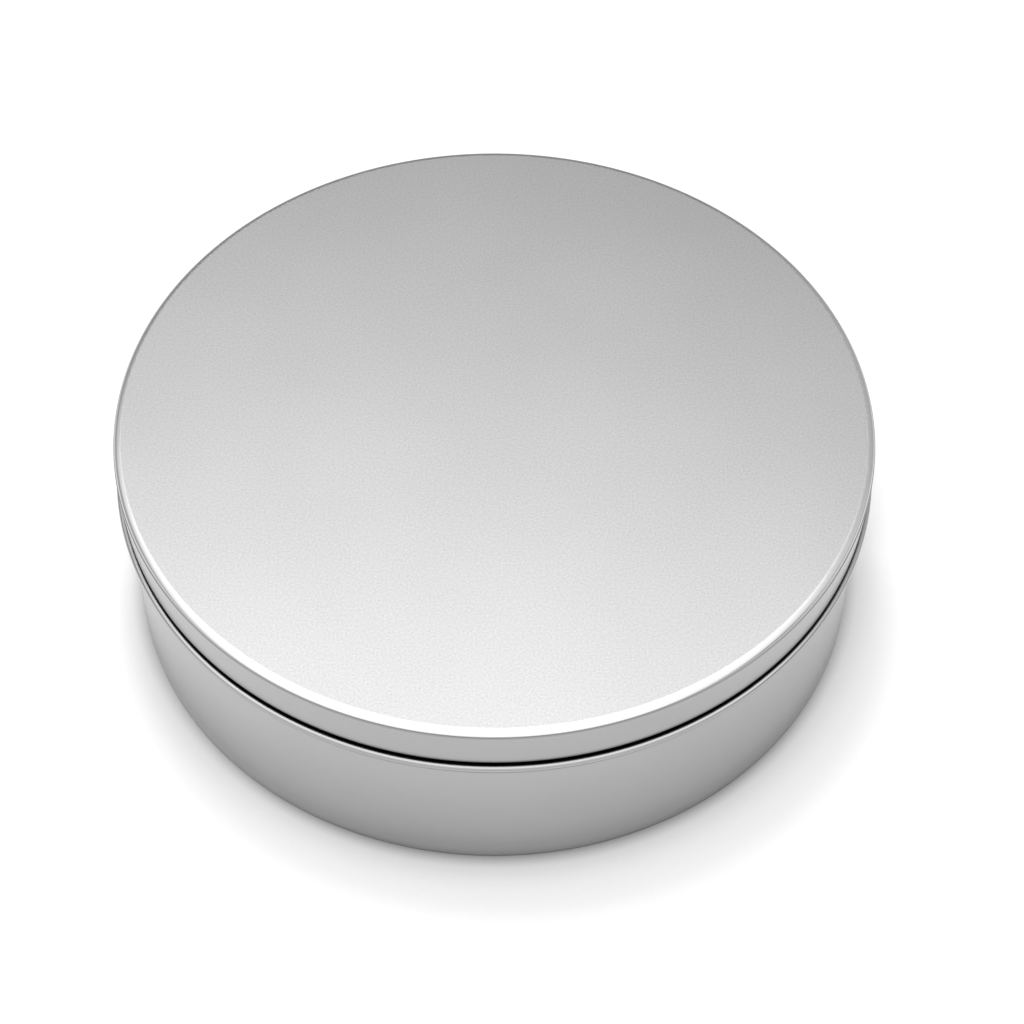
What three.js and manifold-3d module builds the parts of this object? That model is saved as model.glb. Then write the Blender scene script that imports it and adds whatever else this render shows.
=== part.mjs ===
// Round biscuit tin with a slip lid, in three pieces of tinplate: a drawn lid, a rolled wall, a pressed base.
// Each piece is a strip of sheet, bent to its cross-section and carried round the tin's upright axis.
// Millimetres, +Z up. The origin is the centre of the ring that the tin stands on.

import * as THREE from 'three';
import { mergeVertices } from 'three/addons/utils/BufferGeometryUtils.js';
import Module from 'manifold-3d';

// Driving dimensions
const TIN_HEIGHT = 56; // from the ring it stands on to the top of the closed lid
const SHEET = 0.3; // thickness of the tinplate
const LID_RADIUS = 95; // outside of the lid, at its shoulder
const LID_DEPTH = 12.75; // from the lid's top face to the lower edge of its curl
const LID_SHOULDER = 2; // outside radius of the bend between panel and skirt
const LID_LEAN = 3.3; // degrees that the skirt leans in towards its lower edge
const LID_CURL = 1.5; // outside diameter of the curl along the skirt's lower edge
const RIM_CURL = 2; // outside diameter of the curl along the wall's top edge
const WALL_INSET = 1.9; // how far the wall under the bead lies inside the lid's radius
const BEAD_GAP = 0.65; // open line between the closed lid and the bead
const BEAD_HEIGHT = 2.2; // between the bead's upper and lower flanks
const BEAD_REACH = 2.45; // how far the bead stands out of the wall
const BEAD_CORNER = 0.95; // outside radius of the bead's two corners
const BEAD_ROOT = 0.4; // radius of the hollow where the bead leaves the wall
const HOOK_HEIGHT = 2.2; // top of the rolled-in lower edge, inside the foot of the wall
const HOOK_CORNER = 0.45; // outside radius at the foot of the wall
const BASE_SHOULDER = 0.6; // outside radius of the bend between the base's panel and its flange
const BASE_STEP_INSET = 10; // from the base's flange to the step pressed in its panel
const BASE_STEP_HEIGHT = 0.8; // how far the middle of the base lies above its margin
const SIDE_SEAM_WIDTH = 5; // folded layers of the wall's upright seam, pressed flat inside
const SIDE_SEAM_LAYERS = 2; // sheets that the seam adds to the wall

// Clearances
const SLIP_CLEARANCE = 0.3; // between the lid's curl and the neck that it slides over
const SEAT_CLEARANCE = 0.3; // between the rim and the inside of the lid
const HOOK_CLEARANCE = 0.3; // on each side of the base's flange, inside the rolled-in edge

// Facets
const ROUND_FACETS = 64; // in a turn about the axis
const CHORD_TOLERANCE = 0.06; // how far a bend's facets may lie inside its arc
const MERGE_TOLERANCE = 1e-4;

// The leaning skirt, from the centre of its shoulder's bend to the centre of its curl
const lean = THREE.MathUtils.degToRad(LID_LEAN);
const skirtDrop = LID_DEPTH - LID_SHOULDER - LID_CURL / 2;
const bendChange = LID_SHOULDER - LID_CURL / 2;
const skirtLength = (skirtDrop - bendChange * Math.sin(lean)) / Math.cos(lean);
const skirtReach = bendChange * Math.cos(lean) - skirtLength * Math.sin(lean);
const lidCurlRadius = LID_RADIUS - LID_SHOULDER + skirtReach;

// Radii that follow from the fits between the pieces
const neckRadius = lidCurlRadius - LID_CURL / 2 - SLIP_CLEARANCE;
const wallRadius = LID_RADIUS - WALL_INSET;
const flangeRadius = wallRadius - SHEET - HOOK_CLEARANCE;
const hookRadius = flangeRadius - SHEET - HOOK_CLEARANCE;

// Heights that follow from the fits between the pieces
const lidEdge = TIN_HEIGHT - LID_DEPTH;
const beadTop = lidEdge - BEAD_GAP;
const beadBottom = beadTop - BEAD_HEIGHT;
const flangeEdge = SHEET + HOOK_CLEARANCE;
const baseTop = HOOK_HEIGHT + Math.max(BASE_SHOULDER, SHEET + HOOK_CLEARANCE);

// The rim's curl meets the inside of the lid at the panel or, under a wide shoulder, at the shoulder's bend
const rimCentreRadius = neckRadius - RIM_CURL / 2;
const seatReach = LID_SHOULDER - SHEET - SEAT_CLEARANCE - RIM_CURL / 2;
const seatOffset = Math.max(0, rimCentreRadius - (LID_RADIUS - LID_SHOULDER));
const seatRise = Math.sign(seatReach) * Math.sqrt(seatReach ** 2 - seatOffset ** 2);
const rimCentre = TIN_HEIGHT - LID_SHOULDER + seatRise;

// Moves along a strip: a straight length, or a bend whose radius is at the middle of the sheet.
// A bend of positive degrees turns to the left.
const straight = (length) => ({ length });
const bend = (radius, degrees) => ({ radius, degrees });
const outsideBend = (radius, degrees) => bend(radius - SHEET / 2, degrees);
const hollowBend = (radius, degrees) => bend(radius + SHEET / 2, degrees);

// Walks the moves from a start point and heading, and returns the strip's two faces as lists of points.
function bentSheet(start, headingDegrees, moves) {
  const mid = start.clone();
  const leftFace = [];
  const rightFace = [];
  let heading = THREE.MathUtils.degToRad(headingDegrees);
  const leftward = () => new THREE.Vector2(-Math.sin(heading), Math.cos(heading));
  const mark = () => {
    leftFace.push(mid.clone().addScaledVector(leftward(), SHEET / 2));
    rightFace.push(mid.clone().addScaledVector(leftward(), -SHEET / 2));
  };
  mark();
  for (const move of moves) {
    if (move.length !== undefined) {
      mid.x += move.length * Math.cos(heading);
      mid.y += move.length * Math.sin(heading);
      mark();
      continue;
    }
    const turn = THREE.MathUtils.degToRad(move.degrees);
    const reach = move.radius * Math.sign(turn);
    const centre = mid.clone().addScaledVector(leftward(), reach);
    const facetAngle = 2 * Math.acos(Math.max(0, 1 - CHORD_TOLERANCE / move.radius));
    const facets = Math.ceil(Math.abs(turn) / facetAngle);
    for (let i = 0; i < facets; i += 1) {
      heading += turn / facets;
      mid.copy(centre).addScaledVector(leftward(), -reach);
      mark();
    }
  }
  return { leftFace, rightFace };
}

// Revolves a closed outline of radius and height points about the upright axis.
function revolve(outline) {
  const shell = new THREE.LatheGeometry(outline, ROUND_FACETS);
  return shell.rotateX(Math.PI / 2);
}

// A disc whose strip starts on the axis
function pressedDisc(height, moves) {
  const { leftFace, rightFace } = bentSheet(new THREE.Vector2(0, height - SHEET / 2), 0, moves);
  return revolve([...rightFace, ...leftFace.reverse()]);
}

// A hoop whose strip goes round without reaching the axis
function rolledHoop(start, headingDegrees, moves) {
  const { leftFace, rightFace } = bentSheet(start, headingDegrees, moves);
  return revolve([...rightFace, ...leftFace.reverse(), rightFace[0]]);
}

// Solid modelling
const wasm = await Module();
wasm.setup();

function toSolid(geometry) {
  const bare = geometry.clone();
  bare.deleteAttribute('normal');
  bare.deleteAttribute('uv');
  const merged = mergeVertices(bare, MERGE_TOLERANCE);
  return new wasm.Manifold(new wasm.Mesh({
    numProp: 3,
    vertProperties: Float32Array.from(merged.attributes.position.array),
    triVerts: Uint32Array.from(merged.index.array),
  }));
}

function toGeometry(solid) {
  const mesh = solid.getMesh();
  const geometry = new THREE.BufferGeometry();
  geometry.setAttribute('position', new THREE.BufferAttribute(mesh.vertProperties, 3));
  geometry.setIndex(new THREE.BufferAttribute(mesh.triVerts, 1));
  geometry.computeVertexNormals();
  return geometry;
}

// Lid: a flat panel, a round shoulder, a skirt that leans in and a lower edge curled inwards
function makeLid() {
  const panel = LID_RADIUS - LID_SHOULDER;
  return pressedDisc(TIN_HEIGHT, [
    straight(panel),
    outsideBend(LID_SHOULDER, -90 - LID_LEAN),
    straight(skirtLength),
    outsideBend(LID_CURL / 2, LID_LEAN - 270),
  ]);
}

// Folded layers of the wall's upright seam, at the back: inside sheet of a given radius, between two heights
function makeSideSeam(radius, low, high) {
  const innerFace = radius - SHEET * (1 + SIDE_SEAM_LAYERS);
  const outerFace = radius - SHEET / 2;
  const layers = new THREE.BoxGeometry(SIDE_SEAM_WIDTH, outerFace - innerFace, high - low);
  return layers.translate(0, (outerFace + innerFace) / 2, (low + high) / 2);
}

// Wall: from the free end of its rolled-in lower edge up the outside, round the bead, up the neck and
// into the rim's curl
function makeWall() {
  const hookStart = new THREE.Vector2(hookRadius - SHEET / 2, HOOK_HEIGHT);
  const ring = wallRadius - (hookRadius - SHEET) - 2 * HOOK_CORNER;
  const lowerFlank = BEAD_REACH - BEAD_ROOT - BEAD_CORNER;
  const upperFlank = lowerFlank + wallRadius - neckRadius;
  const hoop = rolledHoop(hookStart, -90, [
    straight(HOOK_HEIGHT - HOOK_CORNER),
    outsideBend(HOOK_CORNER, 90),
    straight(ring),
    outsideBend(HOOK_CORNER, 90),
    straight(beadBottom - BEAD_ROOT - HOOK_CORNER),
    hollowBend(BEAD_ROOT, -90),
    straight(lowerFlank),
    outsideBend(BEAD_CORNER, 90),
    straight(BEAD_HEIGHT - 2 * BEAD_CORNER),
    outsideBend(BEAD_CORNER, 90),
    straight(upperFlank),
    hollowBend(BEAD_ROOT, -90),
    straight(rimCentre - beadTop - BEAD_ROOT),
    outsideBend(RIM_CURL / 2, 270),
  ]);
  const seams = [
    makeSideSeam(wallRadius, baseTop + HOOK_CLEARANCE, beadBottom - BEAD_ROOT),
    makeSideSeam(neckRadius, beadTop + BEAD_ROOT, rimCentre - RIM_CURL / 2 - SEAT_CLEARANCE),
  ];
  return toGeometry(seams.reduce((wall, seam) => wall.add(toSolid(seam)), toSolid(hoop)));
}

// Base: a panel with a raised middle, and a flange turned down into the wall's rolled-in edge
function makeBase() {
  const stepBend = (degrees) => bend(BASE_STEP_HEIGHT, degrees);
  const stepTurn = 60;
  const stepRun = 2 * BASE_STEP_HEIGHT * Math.sin(THREE.MathUtils.degToRad(stepTurn));
  const margin = BASE_STEP_INSET - BASE_SHOULDER;
  const middle = flangeRadius - BASE_STEP_INSET - stepRun;
  return pressedDisc(baseTop + BASE_STEP_HEIGHT, [
    straight(middle),
    stepBend(-stepTurn),
    stepBend(stepTurn),
    straight(margin),
    outsideBend(BASE_SHOULDER, -90),
    straight(baseTop - BASE_SHOULDER - flangeEdge),
  ]);
}

// Finishes: satin tinplate, with a finer grain on the lid
const pieces = [
  { name: 'lid', geometry: makeLid(), finish: { color: 0xcfd0d1, roughness: 0.38, metalness: 1 } },
  { name: 'body_wall', geometry: makeWall(), finish: { color: 0xc9cacb, roughness: 0.3, metalness: 1 } },
  { name: 'base_plate', geometry: makeBase(), finish: { color: 0xc4c5c6, roughness: 0.34, metalness: 1 } },
];

const tin = new THREE.Group();
for (const { name, geometry, finish } of pieces) {
  const mesh = new THREE.Mesh(geometry, new THREE.MeshStandardMaterial(finish));
  mesh.name = name;
  tin.add(mesh);
}

export default tin;
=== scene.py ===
"""Looks of a round slip-lid biscuit tin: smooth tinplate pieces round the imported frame, on a pale floor."""

import math

import bpy
from mathutils import Matrix, Vector


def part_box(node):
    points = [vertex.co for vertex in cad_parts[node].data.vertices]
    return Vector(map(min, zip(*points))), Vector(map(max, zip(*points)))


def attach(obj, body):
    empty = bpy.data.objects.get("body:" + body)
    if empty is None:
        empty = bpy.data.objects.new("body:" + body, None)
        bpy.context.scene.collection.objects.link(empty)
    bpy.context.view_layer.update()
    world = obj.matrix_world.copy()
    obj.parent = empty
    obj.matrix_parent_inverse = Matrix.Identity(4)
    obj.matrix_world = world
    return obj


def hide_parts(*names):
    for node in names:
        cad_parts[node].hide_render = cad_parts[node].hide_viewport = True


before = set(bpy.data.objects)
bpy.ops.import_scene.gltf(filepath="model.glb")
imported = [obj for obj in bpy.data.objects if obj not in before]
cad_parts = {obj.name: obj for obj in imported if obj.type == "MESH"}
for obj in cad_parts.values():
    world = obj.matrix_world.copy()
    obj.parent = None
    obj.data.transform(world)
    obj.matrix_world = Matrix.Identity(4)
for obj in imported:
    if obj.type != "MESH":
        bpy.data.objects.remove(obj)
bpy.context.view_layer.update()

MM = 0.001

# Sizes of the sheet metal, as in the construction
SHEET = 0.3 * MM
LID_SHOULDER = 2.0 * MM
LID_LEAN = 3.3
LID_CURL = 1.5 * MM
SLIP_CLEARANCE = 0.3 * MM
RIM_CURL = 2.0 * MM
BEAD_GAP = 0.65 * MM
BEAD_HEIGHT = 2.2 * MM
BEAD_CORNER = 0.95 * MM
BEAD_ROOT = 0.4 * MM
HOOK_HEIGHT = 2.2 * MM
HOOK_CORNER = 0.45 * MM
HOOK_CLEARANCE = 0.3 * MM
BASE_SHOULDER = 0.6 * MM
BASE_STEP_INSET = 10 * MM
BASE_STEP_HEIGHT = 0.8 * MM
BASE_STEP_TURN = 60
SIDE_SEAM_WIDTH = 5 * MM
SIDE_SEAM_DEPTH = 0.6 * MM
SEAM_LINE_WIDTH = 0.35 * MM
SEAM_LINE_DEPTH = 0.12 * MM

# Places that the frame gives
lid_low, lid_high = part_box("lid")
wall_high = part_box("body_wall")[1]
base_low, base_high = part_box("base_plate")
LID_RADIUS = lid_high.x
LID_TOP = lid_high.z
LID_EDGE = lid_low.z
BEAD_RADIUS = wall_high.x
RIM_CENTRE = wall_high.z - RIM_CURL / 2
FLANGE_RADIUS = base_high.x
FLANGE_EDGE = base_low.z
BASE_MIDDLE = base_high.z
BASE_TOP = BASE_MIDDLE - BASE_STEP_HEIGHT
WALL_RADIUS = FLANGE_RADIUS + HOOK_CLEARANCE + SHEET
BEAD_TOP = LID_EDGE - BEAD_GAP
BEAD_BOTTOM = BEAD_TOP - BEAD_HEIGHT

# The leaning skirt, from the centre of its shoulder's bend to the centre of its curl
lean = math.radians(LID_LEAN)
skirt_drop = LID_TOP - LID_EDGE - LID_SHOULDER - LID_CURL / 2
bend_change = LID_SHOULDER - LID_CURL / 2
SKIRT_LENGTH = (skirt_drop - bend_change * math.sin(lean)) / math.cos(lean)
skirt_reach = bend_change * math.cos(lean) - SKIRT_LENGTH * math.sin(lean)
NECK_RADIUS = LID_RADIUS - LID_SHOULDER + skirt_reach - LID_CURL / 2 - SLIP_CLEARANCE

# Fineness of the meshes
TURN_STEPS = 240
BEND_STEP = math.radians(7.5)
BEND_GUARD = 0.1 * MM
PANEL_RINGS = 6
SKIRT_RINGS = 3
WALL_RINGS = 6
NECK_RINGS = 2
SHARP_ANGLE = math.radians(40)
AXIS_LIMIT = 1e-7
SEAM_TOLERANCE = SHEET / 10


# Moves along a strip of bent sheet
def straight(length, parts=1):
    return ("straight", length, parts)


def bend(radius, degrees):
    """A bend whose radius is at the middle of the sheet. Positive degrees turn to the left."""
    return ("bend", radius, math.radians(degrees))


def outside_bend(radius, degrees):
    return bend(radius - SHEET / 2, degrees)


def hollow_bend(radius, degrees):
    return bend(radius + SHEET / 2, degrees)


def straight_marks(length, parts):
    """Even marks along a straight, and one close to each end to keep the bends' shading in the bends."""
    even = [length * k / parts for k in range(1, parts + 1)]
    close = [BEND_GUARD, length - BEND_GUARD] if length > 3 * BEND_GUARD else []
    return sorted(even + close)


def bent_sheet(start, heading_degrees, moves):
    """The two faces of a strip that walks the moves from start, as lists of radius and height."""
    middle = Vector(start)
    heading = math.radians(heading_degrees)
    left_face, right_face = [], []

    def leftward():
        return Vector((-math.sin(heading), math.cos(heading)))

    def mark():
        left_face.append(middle + leftward() * SHEET / 2)
        right_face.append(middle - leftward() * SHEET / 2)

    mark()
    for kind, size, amount in moves:
        if kind == "straight":
            begin = middle
            for share in straight_marks(size, amount):
                middle = begin + Vector((math.cos(heading), math.sin(heading))) * share
                mark()
            continue
        reach = math.copysign(size, amount)
        centre = middle + leftward() * reach
        parts = math.ceil(abs(amount) / BEND_STEP)
        for _ in range(parts):
            heading += amount / parts
            middle = centre - leftward() * reach
            mark()
    return left_face, right_face


# Shells of revolution
def turn_angles(extra=()):
    """Angles round the axis from the front, with extra ones where a detail needs them."""
    even = [2 * math.pi * k / TURN_STEPS for k in range(TURN_STEPS)]
    near = math.pi / TURN_STEPS
    kept = [a for a in even if all(abs(a - b) > near for b in extra)]
    return sorted(kept + list(extra))


def revolve(name, outline, angles, closed, shift=None):
    """A smooth shell. A closed outline goes round without reaching the axis; an open one ends on it."""
    verts, rings = [], []
    for index, (radius, height) in enumerate(outline):
        if radius < AXIS_LIMIT:
            rings.append([len(verts)] * len(angles))
            verts.append((0.0, 0.0, height))
            continue
        ring = []
        for angle in angles:
            moved = radius + (shift(index, angle, height) if shift else 0.0)
            ring.append(len(verts))
            verts.append((moved * math.sin(angle), -moved * math.cos(angle), height))
        rings.append(ring)
    faces = []
    pairs = list(zip(rings, rings[1:]))
    if closed:
        pairs.append((rings[-1], rings[0]))
    for lower, upper in pairs:
        for k in range(len(angles)):
            n = (k + 1) % len(angles)
            corners = [lower[k], lower[n], upper[n], upper[k]]
            face = [v for i, v in enumerate(corners) if v not in corners[:i]]
            if len(face) > 2:
                faces.append(face)
    mesh = bpy.data.meshes.new(name)
    mesh.from_pydata(verts, [], faces)
    mesh.validate()
    mesh.polygons.foreach_set("use_smooth", [True] * len(mesh.polygons))
    mesh.set_sharp_from_angle(angle=SHARP_ANGLE)
    piece = bpy.data.objects.new(name, mesh)
    bpy.context.scene.collection.objects.link(piece)
    return piece


def make_lid():
    """Flat panel, round shoulder, a skirt that leans in, and a lower edge curled inwards."""
    left_face, right_face = bent_sheet((0, LID_TOP - SHEET / 2), 0, [
        straight(LID_RADIUS - LID_SHOULDER, PANEL_RINGS),
        outside_bend(LID_SHOULDER, -90 - LID_LEAN),
        straight(SKIRT_LENGTH, SKIRT_RINGS),
        outside_bend(LID_CURL / 2, LID_LEAN - 270),
    ])
    return revolve("tin_lid", right_face + left_face[::-1], turn_angles(), closed=False)


def make_wall():
    """Rolled-in foot, straight wall, bead, neck and curled rim, with the upright seam at the back."""
    hook_radius = FLANGE_RADIUS - SHEET - HOOK_CLEARANCE
    lower_flank = BEAD_RADIUS - WALL_RADIUS - BEAD_ROOT - BEAD_CORNER
    upper_flank = BEAD_RADIUS - NECK_RADIUS - BEAD_ROOT - BEAD_CORNER
    left_face, right_face = bent_sheet((hook_radius - SHEET / 2, HOOK_HEIGHT), -90, [
        straight(HOOK_HEIGHT - HOOK_CORNER),
        outside_bend(HOOK_CORNER, 90),
        straight(WALL_RADIUS - (hook_radius - SHEET) - 2 * HOOK_CORNER),
        outside_bend(HOOK_CORNER, 90),
        straight(BEAD_BOTTOM - BEAD_ROOT - HOOK_CORNER, WALL_RINGS),
        hollow_bend(BEAD_ROOT, -90),
        straight(lower_flank),
        outside_bend(BEAD_CORNER, 90),
        straight(BEAD_HEIGHT - 2 * BEAD_CORNER),
        outside_bend(BEAD_CORNER, 90),
        straight(upper_flank),
        hollow_bend(BEAD_ROOT, -90),
        straight(RIM_CENTRE - BEAD_TOP - BEAD_ROOT, NECK_RINGS),
        outside_bend(RIM_CURL / 2, 270),
    ])
    outer_count = len(right_face)
    low = BASE_TOP + HOOK_CLEARANCE
    upright = [(low, BEAD_BOTTOM - BEAD_ROOT), (BEAD_TOP + BEAD_ROOT, RIM_CENTRE)]

    def seam(index, angle, height):
        """How far the seam moves a point: a fine groove outside, folded layers inside."""
        across = abs(angle - math.pi) * WALL_RADIUS
        if not any(a - SEAM_TOLERANCE <= height <= b + SEAM_TOLERANCE for a, b in upright):
            return 0.0
        if index < outer_count:
            return -SEAM_LINE_DEPTH if across < SEAM_LINE_WIDTH / 4 else 0.0
        return -SIDE_SEAM_DEPTH if across < SIDE_SEAM_WIDTH / 2 else 0.0

    half_line = SEAM_LINE_WIDTH / 2 / WALL_RADIUS
    half_seam = SIDE_SEAM_WIDTH / 2 / WALL_RADIUS
    edge = SHEET / 2 / WALL_RADIUS
    offsets = [half_line, half_seam - edge, half_seam + edge]
    extra = [math.pi] + [math.pi + s * a for s in (-1, 1) for a in offsets]
    return revolve("tin_wall", right_face + left_face[::-1], turn_angles(extra), closed=True, shift=seam)


def make_base():
    """Panel with a raised middle, and a flange turned down into the foot of the wall."""
    step_run = 2 * BASE_STEP_HEIGHT * math.sin(math.radians(BASE_STEP_TURN))
    left_face, right_face = bent_sheet((0, BASE_MIDDLE - SHEET / 2), 0, [
        straight(FLANGE_RADIUS - BASE_STEP_INSET - step_run, PANEL_RINGS),
        bend(BASE_STEP_HEIGHT, -BASE_STEP_TURN),
        bend(BASE_STEP_HEIGHT, BASE_STEP_TURN),
        straight(BASE_STEP_INSET - BASE_SHOULDER),
        outside_bend(BASE_SHOULDER, -90),
        straight(BASE_TOP - BASE_SHOULDER - FLANGE_EDGE),
    ])
    return revolve("tin_base", right_face + left_face[::-1], turn_angles(), closed=False)


# Finish of the tinplate
PANEL_TONE = 0.432
PANEL_ROUGHNESS = 0.33
PANEL_GRAIN = 0.46
# The shoulder's much lighter tone is a painted highlight
SHOULDER_HIGHLIGHT_TONE = 0.88
SHOULDER_ROUGHNESS = 0.14
SHOULDER_GLANCE = 0.35
# Painted dark reflection along the foot of the lid's shoulder
LINE_SHADE = 0.85
SKIRT_TONE = 0.4
SKIRT_ROUGHNESS = 0.28
SKIRT_GRAIN = 0.03
# Painted shade where the skirt curls in above the bead
EDGE_SHADE = 0.25
WALL_TONE = 0.421
WALL_FOOT = 6 * MM
# Painted light: the wall's foot is paler to offset the dark floor it reflects
WALL_FOOT_TONE = 0.55
# Painted highlight along the bead's upper corner
BEAD_HIGHLIGHT_TONE = 0.69
# Painted shade under the bead
BEAD_UNDERSHADE = 0.6
INSIDE_TONE = 0.47
INSIDE_ROUGHNESS = 0.22
GRAIN_SIZE = 0.5 * MM
GRAIN_DETAIL = 1.0
GRAIN_MEAN = 0.5
CLOUD_SIZE = 40 * MM
CLOUD_RANGE = (0.2, 0.8)
CLOUD_DEPTH = 0.02
OCCLUSION_SAMPLES = 8
CREVICE_REACH = 2.5 * MM
CREVICE_RANGE = (0.42, 0.9)
CREVICE_TONE = 0.02
CREVICE_HEIGHTS = (4 * MM, 12 * MM)

# Where the lid's zones fade in and out: shares of the shoulder's radius above its foot
SHOULDER_HIGHLIGHT_FROM = (0.34, 0.52)
GLOSS_FROM = (-0.2, 0.0)
GLOSS_TO = (0.75, 0.45)
LINE_FROM = (0.0, 0.12)
LINE_TO = (0.46, 0.36)
GLANCE_FROM = (0.0, 0.15)

# Where the other zones fade: shares of the bend that each lies on, or of the sheet's thickness
SKIRT_INSETS = (1.1, 0.7)
EDGE_HEIGHTS = (0.1, 1.2)
BEAD_HIGHLIGHT_DROPS = (0.3, 0.18)
BEAD_HIGHLIGHT_INSETS = (1.35, 1.05)
UNDERSHADE_HEIGHTS = (0.85, 1.25)
INSIDE_BORDER = 0.2


class Nodes:
    """Shorthand for building a node tree."""

    def __init__(self, tree):
        self.tree = tree
        tree.nodes.clear()

    def add(self, kind, inputs=None, **settings):
        node = self.tree.nodes.new(kind)
        for key, value in settings.items():
            setattr(node, key, value)
        for key, value in (inputs or {}).items():
            if isinstance(value, bpy.types.NodeSocket):
                self.tree.links.new(value, node.inputs[key])
            else:
                node.inputs[key].default_value = value
        return node

    def math(self, operation, a, b=0.0, c=0.0):
        return self.add("ShaderNodeMath", {0: a, 1: b, 2: c}, operation=operation).outputs[0]

    def vector(self, operation, a, b=(0, 0, 0)):
        return self.add("ShaderNodeVectorMath", {0: a, 1: b}, operation=operation).outputs

    def distance(self, a, b=(0, 0, 0)):
        return self.vector("DISTANCE", a, b)["Value"]

    def mix(self, a, b, share):
        return self.add("ShaderNodeMix", {"A": a, "B": b, "Factor": share}).outputs["Result"]

    def mix_shaders(self, a, b, share):
        return self.add("ShaderNodeMixShader", {0: share, 1: a, 2: b}).outputs[0]

    def remap(self, value, low, high, to_low=0.0, to_high=1.0, smooth=True):
        kind = "SMOOTHSTEP" if smooth else "LINEAR"
        inputs = {"Value": value, "From Min": low, "From Max": high, "To Min": to_low, "To Max": to_high}
        return self.add("ShaderNodeMapRange", inputs, interpolation_type=kind).outputs["Result"]

    def noise(self, place, scale, detail=2.0):
        inputs = {"Vector": place, "Scale": scale, "Detail": detail}
        return self.add("ShaderNodeTexNoise", inputs).outputs["Fac"]

    def openness(self, reach):
        inputs = {"Distance": reach}
        return self.add("ShaderNodeAmbientOcclusion", inputs, samples=OCCLUSION_SAMPLES).outputs["AO"]

    def grey(self, level):
        return self.add("ShaderNodeCombineColor", {0: level, 1: level, 2: level}).outputs[0]


def node_material(name):
    material = bpy.data.materials.new(name)
    material.use_nodes = True
    return material, Nodes(material.node_tree)


def tinplate(name, zones):
    """Satin tinplate: a fine even grain and slow clouding in its tone, and shade in the crevices.

    zones gives the tone, roughness, grain and share of crevice shade at a place, from the node builder, the
    radius and the height. It may give glance, the share of light that is kept at a glancing angle.
    """
    material, nodes = node_material(name)
    place = nodes.add("ShaderNodeTexCoord").outputs["Object"]
    axes = nodes.add("ShaderNodeSeparateXYZ", {0: place}).outputs
    flat = nodes.add("ShaderNodeCombineXYZ", {"X": axes["X"], "Y": axes["Y"]}).outputs[0]
    zone = zones(nodes, nodes.vector("LENGTH", flat)["Value"], axes["Z"])
    fine = nodes.math("SUBTRACT", nodes.noise(place, 1 / GRAIN_SIZE, GRAIN_DETAIL), GRAIN_MEAN)
    speckle = nodes.math("MULTIPLY_ADD", fine, zone["grain"], 1.0)
    cloud = nodes.noise(place, 1 / CLOUD_SIZE)
    clouding = nodes.remap(cloud, *CLOUD_RANGE, 1 - CLOUD_DEPTH, 1 + CLOUD_DEPTH)
    hollow = nodes.remap(nodes.openness(CREVICE_REACH), *CREVICE_RANGE, CREVICE_TONE, 1.0)
    shade = nodes.mix(1.0, hollow, zone["crevices"])
    grained = nodes.math("MULTIPLY", zone["tone"], speckle)
    level = nodes.math("MULTIPLY", grained, nodes.math("MULTIPLY", clouding, shade))
    inputs = {"Base Color": nodes.grey(level), "Metallic": 1.0, "Roughness": zone["roughness"]}
    if "glance" in zone:
        inputs["Specular Tint"] = nodes.grey(zone["glance"])
    shader = nodes.add("ShaderNodeBsdfPrincipled", inputs)
    nodes.add("ShaderNodeOutputMaterial", {"Surface": shader.outputs[0]})
    return material


def lid_zones(nodes, radius, height):
    """Grained panel; painted highlight and painted dark line at the shoulder; skirt painted darker at its
    curl.
    """

    def fade(shares):
        low, high = (LID_TOP - LID_SHOULDER + share * LID_SHOULDER for share in shares)
        return nodes.remap(height, low, high)

    skirt = nodes.remap(radius, *(LID_RADIUS - share * LID_SHOULDER for share in SKIRT_INSETS))
    # Painted highlight: a much lighter tone on the shoulder stands in for the bright reflection along it
    shoulder = nodes.math("MULTIPLY", fade(SHOULDER_HIGHLIGHT_FROM), skirt)
    gloss = nodes.math("MULTIPLY", fade(GLOSS_FROM), fade(GLOSS_TO))
    # Painted dark reflection: a darker line where the shoulder turns into the skirt
    line = nodes.math("MULTIPLY", nodes.math("MULTIPLY", fade(LINE_TO), fade(LINE_FROM)), skirt)
    # Painted shade: the skirt's tone darkens into its curl, where the gap above the bead lies in shade
    edge = nodes.remap(height, *(LID_EDGE + share * LID_CURL for share in EDGE_HEIGHTS), EDGE_SHADE, 1.0)
    plain_tone = nodes.mix(nodes.mix(PANEL_TONE, SKIRT_TONE, skirt), SHOULDER_HIGHLIGHT_TONE, shoulder)
    dimming = nodes.math("MULTIPLY", edge, nodes.mix(1.0, LINE_SHADE, line))
    plain_roughness = nodes.mix(PANEL_ROUGHNESS, SKIRT_ROUGHNESS, skirt)
    return {
        "tone": nodes.math("MULTIPLY", plain_tone, dimming),
        "roughness": nodes.mix(plain_roughness, SHOULDER_ROUGHNESS, gloss),
        "grain": nodes.mix(PANEL_GRAIN, SKIRT_GRAIN, skirt),
        "crevices": 1.0,
        "glance": nodes.mix(1.0, SHOULDER_GLANCE, nodes.math("MULTIPLY", fade(GLANCE_FROM), skirt)),
    }


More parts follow.
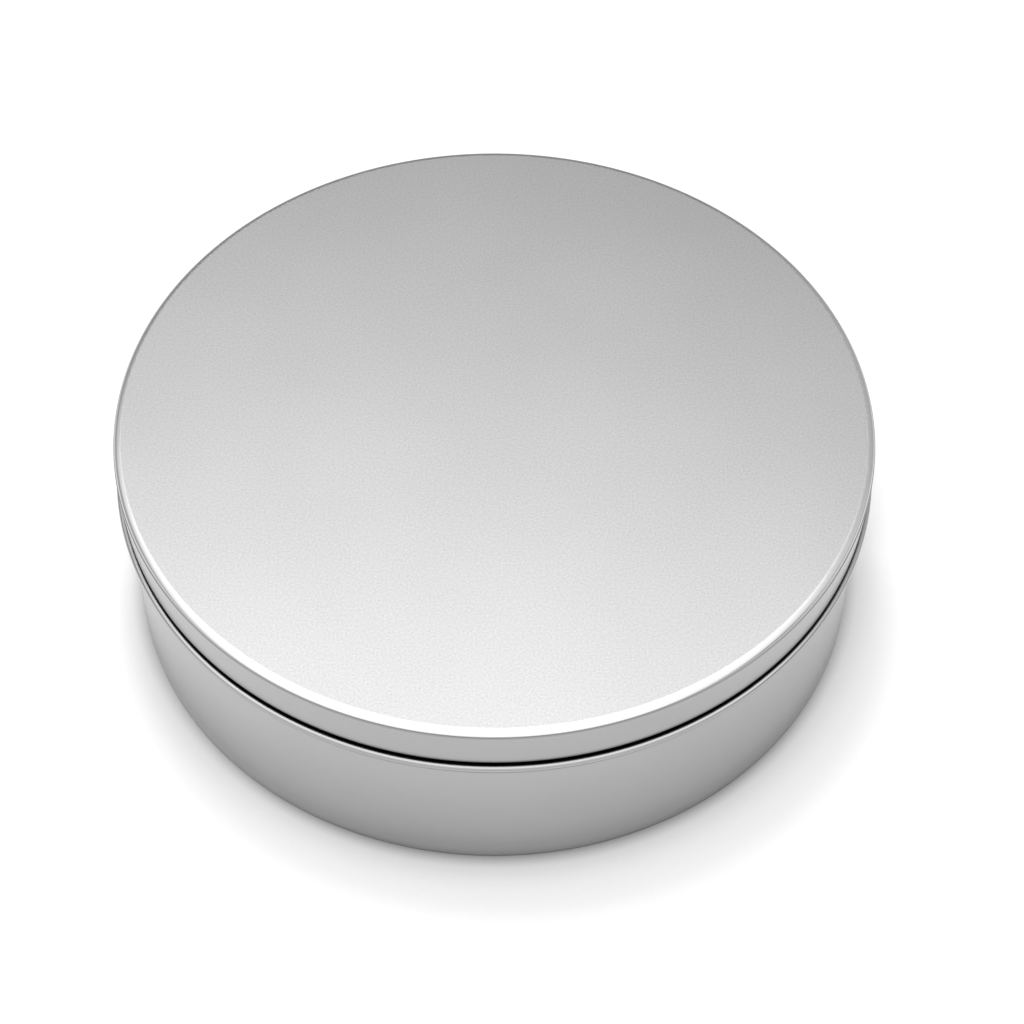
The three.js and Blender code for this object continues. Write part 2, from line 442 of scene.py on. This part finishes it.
def wall_zones(nodes, radius, height):
    """Smooth wall painted paler at its foot, bead with a painted highlight and painted shade, brighter
    lacquer inside.

    Crevice shade fades out towards the foot, where the floor would count as a crevice.
    """
    middles = (WALL_RADIUS - SHEET / 2, NECK_RADIUS - SHEET / 2)
    middle = nodes.remap(height, BEAD_BOTTOM, BEAD_TOP, *middles, smooth=False)
    depth = nodes.math("SUBTRACT", radius, middle)
    inside = nodes.remap(depth, -INSIDE_BORDER * SHEET, INSIDE_BORDER * SHEET, 1.0, 0.0)
    # Painted highlight: a much lighter tone along the bead's upper corner
    raised = nodes.remap(height, *(BEAD_TOP - share * BEAD_CORNER for share in BEAD_HIGHLIGHT_DROPS))
    outward = nodes.remap(radius, *(BEAD_RADIUS - share * BEAD_CORNER for share in BEAD_HIGHLIGHT_INSETS))
    bead_highlight = nodes.math("MULTIPLY", raised, outward)
    # Painted shade: a darker tone on the bead's lower corner, where shade falls under it
    undershade_heights = (BEAD_BOTTOM + share * BEAD_CORNER for share in UNDERSHADE_HEIGHTS)
    lowered = nodes.remap(height, *undershade_heights, 1.0, 0.0)
    proud = nodes.remap(radius, WALL_RADIUS + SHEET, WALL_RADIUS + BEAD_CORNER)
    under = nodes.math("MULTIPLY", lowered, proud)
    # Painted light: the wall's tone turns paler towards its foot, offsetting the dark floor it reflects there
    outer_tone = nodes.remap(height, 0.0, WALL_FOOT, WALL_FOOT_TONE, WALL_TONE)
    plain_tone = nodes.mix(nodes.mix(outer_tone, INSIDE_TONE, inside), BEAD_HIGHLIGHT_TONE, bead_highlight)
    return {
        "tone": nodes.math("MULTIPLY", plain_tone, nodes.mix(1.0, BEAD_UNDERSHADE, under)),
        "roughness": nodes.mix(SKIRT_ROUGHNESS, INSIDE_ROUGHNESS, inside),
        "grain": SKIRT_GRAIN,
        "crevices": nodes.remap(height, *CREVICE_HEIGHTS),
    }


def base_zones(nodes, radius, height):
    """Smooth underside, and brighter lacquer inside, where alone there is crevice shade."""
    middle = BASE_TOP - SHEET / 2
    inside = nodes.remap(height, middle - INSIDE_BORDER * SHEET, middle + INSIDE_BORDER * SHEET)
    return {
        "tone": nodes.mix(WALL_TONE, INSIDE_TONE, inside),
        "roughness": nodes.mix(SKIRT_ROUGHNESS, INSIDE_ROUGHNESS, inside),
        "grain": SKIRT_GRAIN,
        "crevices": inside,
    }


def dress(piece, material, body, node):
    piece.data.materials.append(material)
    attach(piece, body)
    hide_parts(node)


dress(make_lid(), tinplate("lid_tinplate_satin", lid_zones), "lid", "lid")
dress(make_wall(), tinplate("wall_tinplate_satin", wall_zones), "tin", "body_wall")
dress(make_base(), tinplate("base_tinplate_satin", base_zones), "tin", "base_plate")


# Camera, at the photograph's viewing angle
CAMERA_BACK = 0.43536
CAMERA_RISE = 0.5138
CAMERA_PITCH = math.radians(51.7345)
CAMERA_YAW = math.radians(0.598)
CAMERA_ROLL = math.radians(0.517)
CAMERA_LENS = 94.75
CAMERA_NEAR = 0.01


def make_camera():
    place = Vector((0, -CAMERA_BACK, LID_TOP + CAMERA_RISE))
    level = Vector((math.cos(CAMERA_YAW), -math.sin(CAMERA_YAW), 0))
    forward = Vector((math.sin(CAMERA_YAW), math.cos(CAMERA_YAW), -math.tan(CAMERA_PITCH))).normalized()
    upward = level.cross(forward)
    right = math.cos(CAMERA_ROLL) * level + math.sin(CAMERA_ROLL) * upward
    up = math.cos(CAMERA_ROLL) * upward - math.sin(CAMERA_ROLL) * level
    turn = Matrix((right, up, -forward)).transposed().to_4x4()
    camera = bpy.data.objects.new("camera", bpy.data.cameras.new("camera"))
    camera.data.lens = CAMERA_LENS
    camera.data.clip_start = CAMERA_NEAR
    camera.matrix_world = Matrix.Translation(place) @ turn
    bpy.context.scene.collection.objects.link(camera)
    bpy.context.scene.camera = camera


# Floor: white paper that falls off to pale grey all round, with the tin's real and painted shadow only near
# its foot
FLOOR_RADIUS = 6.0
FLOOR_STEPS = 96
FLOOR_DROP = 0.05 * MM
FLOOR_TONE = 0.985
FLOOR_GREY = 0.55
PAPER_MIDDLE = (0, 60 * MM, 0)
PAPER_RADIUS = 230 * MM
PAPER_EDGE = 120 * MM
TOOTH_SCALE = 900
TOOTH_RANGE = (0.3, 0.7)
TOOTH_DEPTH = 0.005
CONTACT_REACH = 10 * MM
CONTACT_SHADE = 0.6
FOOT_REACH = 3.5 * MM
FOOT_SHADE = 0.95
SHADOW_MIDDLE = (3 * MM, -18 * MM, 0)
SHADOW_RADIUS = WALL_RADIUS - 4.5 * MM
SHADOW_FADE = 18 * MM
SPREAD_MIDDLE = (4 * MM, -18 * MM, 0)
SPREAD_WIDTH = 1.05
LEE_REACH = 14 * MM
SIDE_CONTACT = 0.6
OPEN_LIGHT = 1.16
HIDDEN_RADIUS = FLANGE_RADIUS - 4 * MM
HIDDEN_EDGE = 2 * MM
HIDDEN_LIGHT = 0.55


def floor_paper():
    """Paper with real and painted shadow near the tin, that glows evenly further out as painted light.

    The painted shadow behind the tin mirrors the one in front of it. The patch that the tin hides glows, so
    that the tin's underside shows from below, and from below the paper itself is clear.
    """
    material, nodes = node_material("floor_paper")
    place = nodes.add("ShaderNodeTexCoord").outputs["Object"]
    axes = nodes.add("ShaderNodeSeparateXYZ", {0: place}).outputs
    nearer = nodes.math("MULTIPLY", nodes.math("ABSOLUTE", axes["Y"]), -1.0)
    folded = nodes.add("ShaderNodeCombineXYZ", {"X": axes["X"], "Y": nearer}).outputs[0]

    paper_ends = (PAPER_RADIUS, PAPER_RADIUS + PAPER_EDGE)
    level = nodes.remap(nodes.distance(place, PAPER_MIDDLE), *paper_ends, FLOOR_TONE, FLOOR_GREY)
    apart = nodes.distance(folded, SHADOW_MIDDLE)
    closeness = nodes.remap(apart, SHADOW_RADIUS - LEE_REACH, SHADOW_RADIUS, 1.0, SIDE_CONTACT)
    fibres = nodes.noise(place, TOOTH_SCALE)
    tooth = nodes.remap(fibres, *TOOTH_RANGE, 1 - TOOTH_DEPTH, 1 + TOOTH_DEPTH)
    value = nodes.math("MULTIPLY", level, tooth)
    # Painted contact shadow: the paper's colour darkens where the tin closes it in, on top of its real shadow
    for reach, shade in ((CONTACT_REACH, CONTACT_SHADE), (FOOT_REACH, FOOT_SHADE)):
        covered = nodes.math("SUBTRACT", 1.0, nodes.openness(reach))
        dimmed = nodes.math("MULTIPLY", covered, nodes.math("MULTIPLY", closeness, shade))
        value = nodes.math("MULTIPLY", value, nodes.math("SUBTRACT", 1.0, dimmed))
    shaded = nodes.add("ShaderNodeBsdfDiffuse", {"Color": nodes.grey(value)})

    # Painted light: away from the tin's foot the paper glows instead of being lit, which cuts its real shadow
    # short
    offset = nodes.vector("SUBTRACT", folded, SPREAD_MIDDLE)[0]
    spread = nodes.distance(nodes.vector("MULTIPLY", offset, (1 / SPREAD_WIDTH, 1, 1))[0])
    unshaded = nodes.remap(spread, SHADOW_RADIUS, SHADOW_RADIUS + SHADOW_FADE)
    bright = nodes.add("ShaderNodeEmission", {"Strength": nodes.math("MULTIPLY", level, OPEN_LIGHT)})
    paper = nodes.mix_shaders(shaded.outputs[0], bright.outputs[0], unshaded)

    hidden = nodes.remap(nodes.distance(place), HIDDEN_RADIUS, HIDDEN_RADIUS + HIDDEN_EDGE, 1.0, 0.0)
    low_glow = nodes.add("ShaderNodeEmission", {"Strength": HIDDEN_LIGHT})
    paper = nodes.mix_shaders(paper, low_glow.outputs[0], hidden)
    clear = nodes.add("ShaderNodeBsdfTransparent")
    from_below = nodes.add("ShaderNodeNewGeometry").outputs["Backfacing"]
    surface = nodes.mix_shaders(paper, clear.outputs[0], from_below)
    nodes.add("ShaderNodeOutputMaterial", {"Surface": surface})
    return material


def make_floor():
    turns = [2 * math.pi * k / FLOOR_STEPS for k in range(FLOOR_STEPS)]
    ring = [(FLOOR_RADIUS * math.cos(turn), FLOOR_RADIUS * math.sin(turn), 0) for turn in turns]
    mesh = bpy.data.meshes.new("floor")
    mesh.from_pydata(ring, [], [list(range(FLOOR_STEPS))])
    mesh.materials.append(floor_paper())
    floor = bpy.data.objects.new("floor", mesh)
    floor.location.z = -FLOOR_DROP
    bpy.context.scene.collection.objects.link(floor)


# Light: a soft box overhead in a broad white tent that is open at the back, and three fainter glows
ROOM_LEVEL = 0.232
SOFT_BOXES = [
    {"azimuth": -169.8, "elevation": 70.0, "inner": 20, "outer": 22.2, "level": 2.99},
    {"azimuth": -12, "elevation": 52.5, "inner": 59, "outer": 83, "level": 1.16},
    {"azimuth": -120, "elevation": 38, "inner": 5, "outer": 29, "level": 0.9},
    {"azimuth": 130, "elevation": 30, "inner": 14, "outer": 40, "level": 0.45},
    {"azimuth": 100, "elevation": 25, "inner": 10, "outer": 34, "level": 0.65},
]


def make_light():
    """A world of round soft boxes, each at its full level inside its inner angle.

    Angles are in degrees, and azimuth 0 is the front.
    """
    world = bpy.data.worlds.new("studio")
    world.use_nodes = True
    bpy.context.scene.world = world
    nodes = Nodes(world.node_tree)
    direction = nodes.add("ShaderNodeTexCoord").outputs["Generated"]
    strength = None
    for box in SOFT_BOXES:
        azimuth = math.radians(box["azimuth"])
        elevation = math.radians(box["elevation"])
        axis = (
            math.cos(elevation) * math.sin(azimuth),
            -math.cos(elevation) * math.cos(azimuth),
            math.sin(elevation),
        )
        angle = nodes.math("ARCCOSINE", nodes.vector("DOT_PRODUCT", direction, axis)["Value"])
        ends = (math.radians(box["outer"]), math.radians(box["inner"]))
        glow = nodes.remap(angle, *ends, ROOM_LEVEL, box["level"])
        strength = glow if strength is None else nodes.math("MAXIMUM", strength, glow)
    background = nodes.add("ShaderNodeBackground", {"Color": (1, 1, 1, 1), "Strength": strength})
    nodes.add("ShaderNodeOutputWorld", {"Surface": background.outputs[0]})


make_camera()
make_floor()
make_light()
bpy.context.scene.view_settings.view_transform = "Standard"
